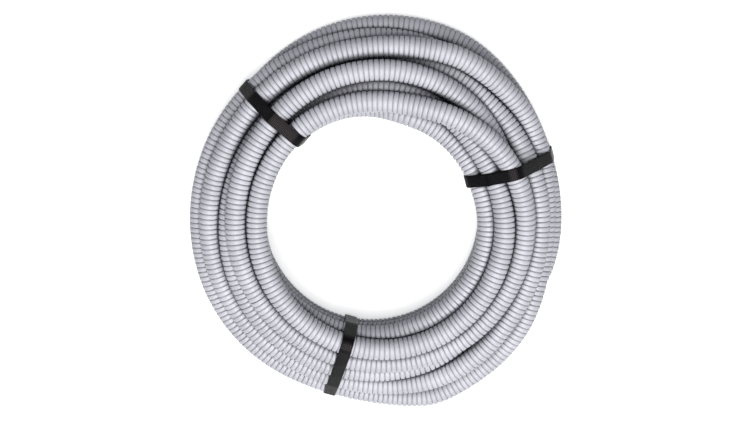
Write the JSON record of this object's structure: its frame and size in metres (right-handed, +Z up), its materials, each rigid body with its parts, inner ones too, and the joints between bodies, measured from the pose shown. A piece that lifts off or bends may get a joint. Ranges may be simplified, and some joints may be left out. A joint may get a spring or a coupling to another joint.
{
  "type": "corrugated conduit coil",
  "caption": "Flat-lying coil of pale grey corrugated plastic conduit, wound as a round bundle about an open eye and held by black plastic straps",
  "frame": {"origin": "on the coil's axis, at the level floor under the straps that it lies on", "axes": "+Z up through the coil's eye; the coil lies flat, with its front strap towards -Y, its right strap towards +X and its left strap towards -X and +Y"},
  "size_m": [0.346, 0.376, 0.0755],
  "materials": {
    "conduit_grey": "pale grey corrugated PVC with a soft sheen, dust in its grooves",
    "strap_black": "black embossed polypropylene band"
  },
  "bodies": {
    "root": {"conduit": "conduit_grey", "strap_left": "strap_black", "strap_right": "strap_black", "strap_front": "strap_black"}
  },
  "joints": []
}
